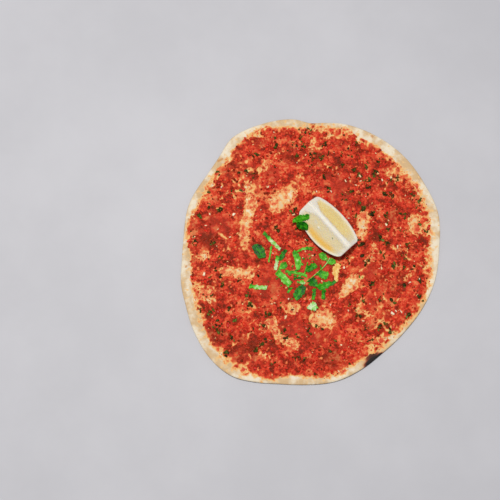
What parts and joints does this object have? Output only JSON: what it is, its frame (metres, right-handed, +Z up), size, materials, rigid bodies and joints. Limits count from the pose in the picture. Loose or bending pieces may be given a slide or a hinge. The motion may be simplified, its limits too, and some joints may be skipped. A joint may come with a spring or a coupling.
{
  "type": "lahmacun",
  "caption": "Thin round flatbread under a red spread of spiced mince, with a quarter of lemon and chopped parsley on top.",
  "frame": {"origin": "middle of the bread's outline, on the surface that the bread lies on", "axes": "+Z up out of the spread, +Y away from the viewer along the bread's longest way across, +X to the viewer's right"},
  "size_m": [0.2639, 0.2725, 0.0326],
  "materials": {
    "bread": "dry baked dough, pale cream with toasted and charred spots",
    "mince": "moist red mince and pepper paste with a film of oil",
    "lemon": "wet pale yellow flesh, white pith and waxy yellow rind",
    "parsley": "fresh green leaf, slightly moist",
    "stem": "smooth pale green stalk"
  },
  "bodies": {
    "root": {"flatbread": "bread", "meat_topping": "mince", "lemon_wedge": "lemon", "parsley_01": "parsley", "parsley_02": "parsley", "parsley_03": "parsley", "parsley_04": "parsley", "parsley_05": "parsley", "parsley_06": "parsley", "parsley_07": "parsley", "parsley_08": "parsley", "parsley_09": "parsley", "parsley_10": "parsley", "parsley_11": "parsley", "parsley_12": "parsley", "parsley_13": "parsley", "parsley_14": "parsley", "parsley_15": "parsley", "parsley_16": "parsley", "parsley_17": "parsley", "parsley_18": "parsley", "parsley_19": "parsley", "parsley_20": "parsley", "parsley_21": "parsley", "parsley_22": "parsley", "parsley_23": "parsley", "parsley_24": "parsley", "parsley_25": "parsley", "parsley_26": "parsley", "parsley_27": "parsley", "parsley_28": "parsley", "parsley_stem": "stem"}
  },
  "joints": []
}
